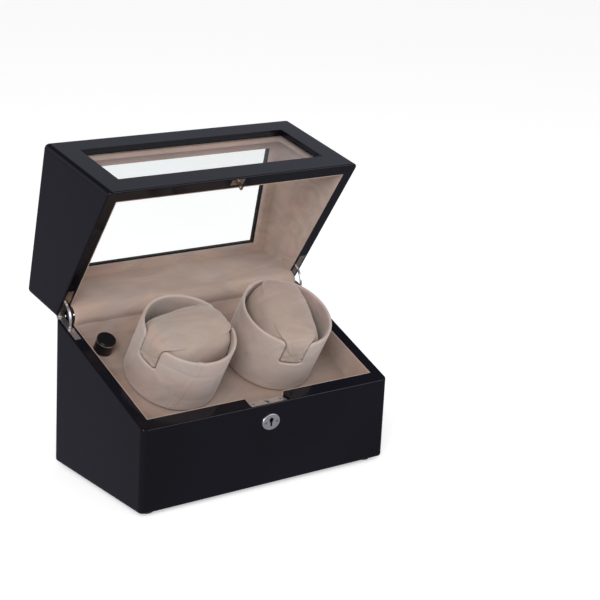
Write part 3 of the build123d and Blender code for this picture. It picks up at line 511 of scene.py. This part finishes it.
def new_piece(name, points, faces, body, slot, materials):
    """A closed mesh that takes one slot's finish, and rides on a body if one is given."""
    mesh = bpy.data.meshes.new(name)
    mesh.from_pydata([tuple(point) for point in points], [], faces)
    mesh.validate()
    shape = bmesh.new()
    shape.from_mesh(mesh)
    bmesh.ops.recalc_face_normals(shape, faces=shape.faces)
    shape.to_mesh(mesh)
    shape.free()
    for polygon in mesh.polygons:
        polygon.use_smooth = True
    mesh.materials.append(materials[slot])
    piece = bpy.data.objects.new(name, mesh)
    bpy.context.scene.collection.objects.link(piece)
    if body is not None:
        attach(piece, body)
    return piece


def ring_faces(rows, columns, closed_rows=False):
    """Quads between rows of points, each row a closed ring."""
    faces = []
    for r in range(rows if closed_rows else rows - 1):
        for c in range(columns):
            low = r * columns
            high = (r + 1) % rows * columns
            following = (c + 1) % columns
            faces.append((low + c, low + following, high + following, high + c))
    return faces


def strip_faces(columns, rows):
    """Quads of a thin strip: two layers of points, each a grid of rows and columns, and its edge."""
    faces = []
    for layer in (0, 1):
        for r in range(rows - 1):
            for c in range(columns - 1):
                k = (layer * rows + r) * columns + c
                faces.append((k, k + 1, k + columns + 1, k + columns))
    rim = list(range(columns))
    rim += [r * columns + columns - 1 for r in range(1, rows)]
    rim += [(rows - 1) * columns + c for c in range(columns - 2, -1, -1)]
    rim += [r * columns for r in range(rows - 2, 0, -1)]
    behind = columns * rows
    faces += [(a, b, b + behind, a + behind) for a, b in zip(rim, rim[1:] + rim[:1])]
    return faces


def deck_axes(joint_name, turn):
    """A place on the deck: its Z is the joint's axis, and its X is turned from the box's +X."""
    joint = joints[joint_name]
    normal = Vector(joint["axis"]).normalized()
    across = Vector((1, 0, 0))
    upward = normal.cross(across)
    x_dir = across * cos(turn) + upward * sin(turn)
    y_dir = upward * cos(turn) - across * sin(turn)
    matrix = Matrix((x_dir, y_dir, normal)).transposed().to_4x4()
    return Matrix.Translation(joint["pos_m"]) @ matrix


# ------------------------------------------------------------------ cups


def arc_points(centre, radius, start, end, count):
    """Points on an arc with the direction from its centre at each, as (point, direction)."""
    points = []
    for i in range(count + 1):
        angle = start + (end - start) * i / count
        way = np.array((cos(angle), sin(angle)))
        points.append((np.array(centre) + radius * way, way))
    return points


def quarter_edge(inset, length):
    """The wall's upper edge over a quarter turn, unrolled: from the middle of a cut-out to mid-wall.

    Each entry is a point (along the wall, height) and the direction that faces out of the wall.
    """
    up = np.array((0.0, 1.0))
    step = 1.2 * MM
    side = SLOT_HALF_WIDTH
    rows = []
    flat = side - SLOT_CORNER
    for s in np.linspace(0, flat, max(2, round(flat / step)), endpoint=False):
        rows.append((np.array((s, SLOT_BOTTOM - inset)), up))
    corner = arc_points((flat, SLOT_BOTTOM + SLOT_CORNER), SLOT_CORNER + inset, -pi / 2, 0, 8)
    rows += [(point, -way) for point, way in corner]
    low = SLOT_BOTTOM + SLOT_CORNER
    high = CUP_HEIGHT - RIM_FLARE
    for h in np.linspace(low, high, round((high - low) / step))[1:-1]:
        rows.append((np.array((side + inset, h)), -np.array((1.0, 0.0))))
    rows += arc_points((side + RIM_FLARE, high), RIM_FLARE - inset, pi, pi / 2, 10)
    rim_start = side + RIM_FLARE
    for s in np.linspace(rim_start, length, round((length - rim_start) / step))[1:]:
        rows.append((np.array((s, CUP_HEIGHT - inset)), up))
    return rows


def cup_edge(inset, radius):
    """The whole upper edge, once round the cup, as (angle, height, direction out of the wall)."""
    quarter = quarter_edge(inset, radius * pi / 2)
    mirrored = [
        (np.array((radius * pi - p[0], p[1])), np.array((-d[0], d[1]))) for p, d in quarter
    ]
    half = quarter + mirrored[::-1][1:-1]
    edge = []
    for turn in (0, pi):
        edge += [(p[0] / radius + turn, p[1], d) for p, d in half]
    return edge


def cup_wall_rows():
    """A cup's closed wall as rows of (angle, height, radius): outer face, rim, inner face, foot."""
    middle = CUP_RADIUS - CUP_WALL / 2
    roll = CUP_WALL / 2
    foot = CUP_LIFT + roll
    edge = cup_edge(roll, middle)
    count = len(edge)
    shares = [k / WALL_ROWS for k in range(WALL_ROWS + 1)]
    bends = [pi * k / ROLL_ROWS for k in range(1, ROLL_ROWS)]

    def on_wall(share, radius):
        row = []
        for c, (angle, height, _) in enumerate(edge):
            foot_angle = 2 * pi * c / count
            a = foot_angle + (angle - foot_angle) * share
            row.append((a, foot + (height - foot) * share, radius))
        return row

    def over_rim(bend):
        out, rise = roll * cos(bend), roll * sin(bend)
        return [(a + rise * way[0] / middle, h + rise * way[1], middle + out) for a, h, way in edge]

    def under_foot(bend):
        angles = [2 * pi * c / count for c in range(count)]
        return [(a, foot - roll * sin(bend), middle - roll * cos(bend)) for a in angles]

    rows = [on_wall(share, middle + roll) for share in shares]
    rows += [over_rim(bend) for bend in bends]
    rows += [on_wall(share, middle - roll) for share in reversed(shares)]
    rows += [under_foot(bend) for bend in bends]
    return rows


def wander(angle, height, seed):
    """How far the suede stands off a true cylinder: slow waves that fade towards the foot."""
    spot = Vector((cos(angle) * 1.6, sin(angle) * 1.6, height / (32 * MM) + seed))
    return noise.noise(spot) * 0.3 * MM * min(1.0, height / (20 * MM))


def make_cup(side, materials):
    """One suede-covered cup with its seam strip and its padded floor."""
    matrix = deck_axes(f"turntable_{side}_spin", radians(CUP_TURN[side]))
    seed = {"left": 1.0, "right": 7.0}[side]
    rows = cup_wall_rows()
    points = []
    for row in rows:
        for a, h, radius in row:
            r = radius + wander(a, h, seed)
            points.append(matrix @ Vector((r * cos(a), r * sin(a), h)))
    faces = ring_faces(len(rows), len(rows[0]), closed_rows=True)
    cup = new_piece(f"cup_suede_{side}", points, faces, f"turntable_{side}", "cup_suede", materials)
    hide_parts(f"cup_cover_{side}")
    make_seam(side, matrix, seed, materials)
    make_cup_floor(side, matrix, materials)


def make_seam(side, matrix, seed, materials):
    """The lap where the suede's two ends meet: a thin strip with soft edges, up and over the wall."""
    half = SEAM_WIDTH / 2
    across = np.linspace(-1, 1, 25)
    roll = CUP_WALL / 2
    foot, rim = CUP_LIFT + 0.4 * MM, CUP_HEIGHT - roll
    path = [(CUP_RADIUS, h, 1, 0) for h in np.linspace(foot, rim, 48)]
    for k in range(1, 9):
        bend = pi * k / 8
        r = CUP_RADIUS - roll + roll * cos(bend)
        path.append((r, rim + roll * sin(bend), cos(bend), sin(bend)))
    path += [(CUP_RADIUS - CUP_WALL, rim - d * MM, -1, 0) for d in (1, 2, 3)]
    middle_angle = radians(SEAM_TURN[side] - CUP_TURN[side])
    points = []
    for lift in (SEAM_STAND, -0.3 * MM):
        for i, (radius, h, out, rise) in enumerate(path):
            end = min(1.0, (i + 0.2) / 2, (len(path) - i - 0.8) / 2) ** 0.5
            for u in across:
                drift = radians(SEAM_SLANT) * (1 - min(h, rim) / rim)
                a = middle_angle + drift + u * half / CUP_RADIUS
                edge = max(0.0, 1 - (abs(u) ** 24 if u < 0 else u**3)) ** 0.5
                stand = lift * edge * end if lift > 0 else lift
                r = radius + wander(a, h, seed) + stand * out
                points.append(matrix @ Vector((r * cos(a), r * sin(a), h + stand * rise)))
    faces = strip_faces(len(across), len(path))
    new_piece(f"cup_seam_{side}", points, faces, f"turntable_{side}", "cup_suede", materials)


def make_cup_floor(side, matrix, materials):
    """A suede disc over the cup's floor, a little crowned, with a rolled edge."""
    inside = CUP_RADIUS - CUP_WALL - 0.25 * MM
    profile = [(0.02, 1.6), (0.2, 1.55), (0.45, 1.45), (0.7, 1.3), (0.88, 1.1), (0.95, 0.95)]
    profile += [(0.985, 0.75), (1.0, 0.45), (1.0, 0.05), (0.02, 0.05)]
    columns = 96
    points = []
    for share, lift in profile:
        for c in range(columns):
            a = 2 * pi * c / columns
            r = inside * share
            points.append(matrix @ Vector((r * cos(a), r * sin(a), CUP_FLOOR + lift * MM)))
    faces = ring_faces(len(profile), columns)
    faces.append(tuple(range(columns))[::-1])
    faces.append(tuple(range((len(profile) - 1) * columns, len(profile) * columns)))
    new_piece(f"cup_floor_pad_{side}", points, faces, f"turntable_{side}", "cup_suede", materials)


# ------------------------------------------------------------------ cushions


def evaluated_copy(piece):
    """The mesh of a piece with its modifiers applied."""
    graph = bpy.context.evaluated_depsgraph_get()
    return bpy.data.meshes.new_from_object(piece.evaluated_get(graph), depsgraph=graph)


def with_modifier(piece, kind, **settings):
    """Apply one modifier to a piece's mesh."""
    modifier = piece.modifiers.new(kind.lower(), kind)
    for name, value in settings.items():
        setattr(modifier, name, value)
    bpy.context.view_layer.update()
    mesh = evaluated_copy(piece)
    piece.modifiers.clear()
    piece.data = mesh


def coordinates(mesh):
    """A mesh's points as an array."""
    flat = np.empty(len(mesh.vertices) * 3, np.float32)
    mesh.vertices.foreach_get("co", flat)
    return flat.reshape(-1, 3).astype(float)


def set_coordinates(mesh, points):
    """Write points back into a mesh."""
    mesh.vertices.foreach_set("co", np.asarray(points, np.float32).ravel())
    mesh.update()


def smooth_step(value, low, high):
    """0 below low, 1 above high, and a smooth rise between."""
    t = np.clip((value - low) / (high - low), 0, 1)
    return t * t * (3 - 2 * t)


def bolster(points):
    """Draw points on to a soft bolster: oval across, with ends that turn smoothly into its sides."""
    x, y, z = (np.abs(points) / START_HALF_SIZE).T
    size = (x**START_POWER + (y**2 + z**2) ** (START_POWER / 2)) ** (1 / START_POWER)
    return points / size[:, None]


def inflate(piece):
    """Blow the cushion up as cloth held at both gathered ends, and cap how far each point moves."""
    rest = coordinates(piece.data)
    gathers = piece.vertex_groups.new(name="gathers")
    near_axis = np.hypot(rest[:, 1], rest[:, 2]) < GATHER_RADIUS
    at_end = np.abs(rest[:, 0]) > 0.8 * np.abs(rest[:, 0]).max()
    gathers.add([int(i) for i in np.flatnonzero(near_axis & at_end)], 1.0, "REPLACE")
    modifier = piece.modifiers.new("cloth", "CLOTH")
    cloth = modifier.settings
    cloth.quality = 6
    cloth.mass = 0.25
    cloth.use_pressure = True
    cloth.uniform_pressure_force = CLOTH_PRESSURE
    cloth.effector_weights.gravity = 0
    cloth.vertex_group_mass = "gathers"
    modifier.collision_settings.use_collision = False
    modifier.point_cache.frame_start = 1
    modifier.point_cache.frame_end = CLOTH_FRAMES
    for step in range(1, CLOTH_FRAMES + 1):
        bpy.context.scene.frame_set(step)
    blown = coordinates(evaluated_copy(piece))
    piece.modifiers.clear()
    piece.vertex_groups.clear()
    bpy.context.scene.frame_set(1)
    move = blown - rest
    length = np.linalg.norm(move, axis=1)
    share = SWELL_CAP * np.tanh(length / SWELL_CAP) / np.maximum(length, 1e-9)
    set_coordinates(piece.data, rest + move * share[:, None])


def slot_depth(y, h):
    """How far inside a cut-out's outline a point is, across the wall, in metres."""
    flare = np.clip(h - (CUP_HEIGHT - RIM_FLARE), 0, None) ** 2 / RIM_FLARE
    half = SLOT_HALF_WIDTH - SLOT_CORNER + np.minimum(flare, 16 * MM)
    dx = np.abs(y) - half
    dh = (SLOT_BOTTOM + SLOT_CORNER) - h
    outside = np.hypot(np.maximum(dx, 0), np.maximum(dh, 0))
    return SLOT_CORNER - (outside + np.minimum(np.maximum(dx, dh), 0))


def fit_cup(points):
    """Press a cushion into its cup: off the wall, domed over the rim and flush in the cut-outs."""
    x, y, h = points[:, 0], points[:, 1], points[:, 2] + CUSHION_CENTRE
    r = np.hypot(x, y)
    inner = CUP_RADIUS - CUP_WALL - CUSHION_CLEARANCE
    climb = np.clip((h - DOME_START) / DOME_HEIGHT, 0, 0.98)
    limit = inner * (1 - climb**DOME_POWER) ** (1 / DOME_POWER)
    soft = limit - 3 * MM
    over = np.maximum(r - soft, 0)
    pressed = np.where(r > soft, soft + 3 * MM * np.tanh(over / (3 * MM)), r)
    softness = 1.5 * MM + 0.8 * np.clip(h - 57 * MM, 0, None)
    opening = smooth_step(slot_depth(y, h) - 0.5 * MM, 0, softness)
    opening = opening * (1 - smooth_step(h, 56 * MM, 70 * MM))
    outer = smooth_step(r, 24 * MM, 35 * MM)
    pressed += opening * outer * (CUP_RADIUS - 0.6 * MM - pressed)
    scale = pressed / np.maximum(r, 1e-9)
    return np.column_stack((x * scale, y * scale, points[:, 2]))


def pleats(points, seed):
    """Gathers: folds that run in to the middle of each end and die out over the shoulder."""
    x, y, z = points.T
    around = np.arctan2(z, y)
    reach = np.hypot(y, z)
    end = np.sign(x)
    near_end = smooth_step(np.abs(x), 20 * MM, 34 * MM)
    wave = np.zeros(len(points))
    generator = np.random.default_rng(seed)
    for folds in (9, 14, 19):
        phase = end * 1.3 + generator.uniform(0, 2 * pi)
        wave += np.sin(folds * around + phase) / (folds / 9) ** 0.5
    fade = smooth_step(reach, 1.5 * MM, 7 * MM) * (1 - smooth_step(reach, 14 * MM, 31 * MM))
    depth = 0.22 * MM * wave * fade * near_end
    dimple = -1.0 * MM * np.exp(-((reach / (4 * MM)) ** 2)) * near_end
    out = points.copy()
    out[:, 0] += end * (depth + dimple)
    shoulder = 0.22 * MM * wave * near_end * smooth_step(reach, 14 * MM, 22 * MM)
    out[:, 1] += np.cos(around) * shoulder
    out[:, 2] += np.sin(around) * shoulder
    return out


def creases(points, seed):
    """Slow unevenness all over, as foam shows through velvet."""
    out = points.copy()
    for i, point in enumerate(points):
        spot = Vector(point) / (17 * MM) + Vector((seed, 0, 0))
        way = Vector(point).normalized()
        out[i] += np.array(way) * noise.noise(spot) * 0.8 * MM
    return out


def make_cushion(side, materials):
    """A velvet bolster, blown up as cloth, gathered at both ends and pressed into its cup."""
    seed = {"left": 3, "right": 11}[side]
    matrix = deck_axes(f"turntable_{side}_spin", radians(CUP_TURN[side]))
    matrix = matrix @ Matrix.Translation((0, 0, CUSHION_CENTRE))
    mesh = frame["nodes"][f"cushion_{side}"].data.copy()
    mesh.transform(matrix.inverted())
    mesh.materials.clear()
    piece = bpy.data.objects.new(f"watch_cushion_{side}", mesh)
    bpy.context.scene.collection.objects.link(piece)
    with_modifier(piece, "REMESH", mode="VOXEL", voxel_size=VOXEL)
    set_coordinates(piece.data, bolster(coordinates(piece.data)))
    inflate(piece)
    with_modifier(piece, "SMOOTH", factor=0.5, iterations=2)
    with_modifier(piece, "SUBSURF", levels=2)
    points = creases(coordinates(piece.data), seed)
    points = pleats(fit_cup(points), seed)
    set_coordinates(piece.data, points)
    piece.data.transform(matrix)
    for polygon in piece.data.polygons:
        polygon.use_smooth = True
    piece.data.materials.clear()
    piece.data.materials.append(materials["cushion_velvet"])
    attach(piece, f"cushion_{side}")
    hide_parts(f"cushion_{side}")


# ------------------------------------------------------------------ the cloth across the lid's joint, and the near-black fans of painted shade at its ends


def lid_joint():
    """The lid's pivot line, the angle the joint opens by, and the direction in which it starts."""
    hinge = joints["lid_hinge"]
    axis = Vector((0, hinge["pos_m"][1], hinge["pos_m"][2]))
    return axis, radians(-hinge["range_deg"][0]), pi + atan2(JOINT_RISE, 1.0)


def make_joint_flap(materials):
    """The suede that carries on from the base's back lining to the lid's, over the open joint."""
    axis, opening, start = lid_joint()
    low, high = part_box("base_wall_lining")
    reach = axis.y - high.y + LINING + FLAP_STAND
    ribs = []
    for k in range(FLAP_STEPS + 1):
        share = k / FLAP_STEPS
        angle = start - opening * share
        way = Vector((0, cos(angle), sin(angle)))
        ribs.append((way * (reach + FLAP_BULGE * sin(pi * share)), way))
    first, last = ribs[0], ribs[-1]
    down = Vector((0, 0, -FLAP_TAIL))
    up = Matrix.Rotation(-opening, 3, "X") @ Vector((0, 0, FLAP_TAIL))
    ribs = [(first[0] + down, first[1]), *ribs, (last[0] + up, last[1])]
    half_width = (high.x - low.x) / 2 - FLAP_SIDE_GAP
    columns = np.linspace(-half_width, half_width, 60)
    points = []
    for layer in (0, 1):
        for r, (offset, way) in enumerate(ribs):
            lift = FLAP_THICK * layer
            if r in (0, len(ribs) - 1):
                lift = FLAP_END_THICK * layer - FLAP_END_SINK
            for x in columns:
                ripple = 0.25 * MM * noise.noise(Vector((x / (22 * MM), offset.z * 40, 3)))
                points.append(axis + offset + way * (lift + ripple) + Vector((x, 0, 0)))
    faces = strip_faces(len(columns), len(ribs))
    flap = new_piece("joint_flap", points, faces, None, "suede_lining", materials)
    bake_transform(flap)


def make_shade_gusset(side, materials):
    """A near-black sheet at one end of the joint, a fan between base and lid beside the hinge: painted shade that
    closes the slit there and stands for the dark cavity.
    """
    axis, opening, start = lid_joint()
    sign = {"left": -1, "right": 1}[side]
    steps, rings = 16, 8
    points = []
    for x in (GUSSET_PLACE, GUSSET_PLACE + GUSSET_THICK):
        for i in range(steps + 1):
            angle = start - opening * i / steps
            for k in range(rings + 1):
                radius = GUSSET_INSIDE + (GUSSET_OUTSIDE - GUSSET_INSIDE) * k / rings
                points.append(axis + Vector((sign * x, radius * cos(angle), radius * sin(angle))))
    faces = strip_faces(rings + 1, steps + 1)
    # near-black rubber finish on this fan: painted shade
    gusset = new_piece(f"joint_shade_gusset_{side}", points, faces, None, "rubber", materials)
    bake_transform(gusset)


# ------------------------------------------------------------------ making it all

make_camera()
make_floor()
make_light()
materials = make_materials()
finish_nodes(materials)
for side in CUP_TURN:
    make_cup(side, materials)
    make_cushion(side, materials)
    make_shade_gusset(side, materials)
make_joint_flap(materials)
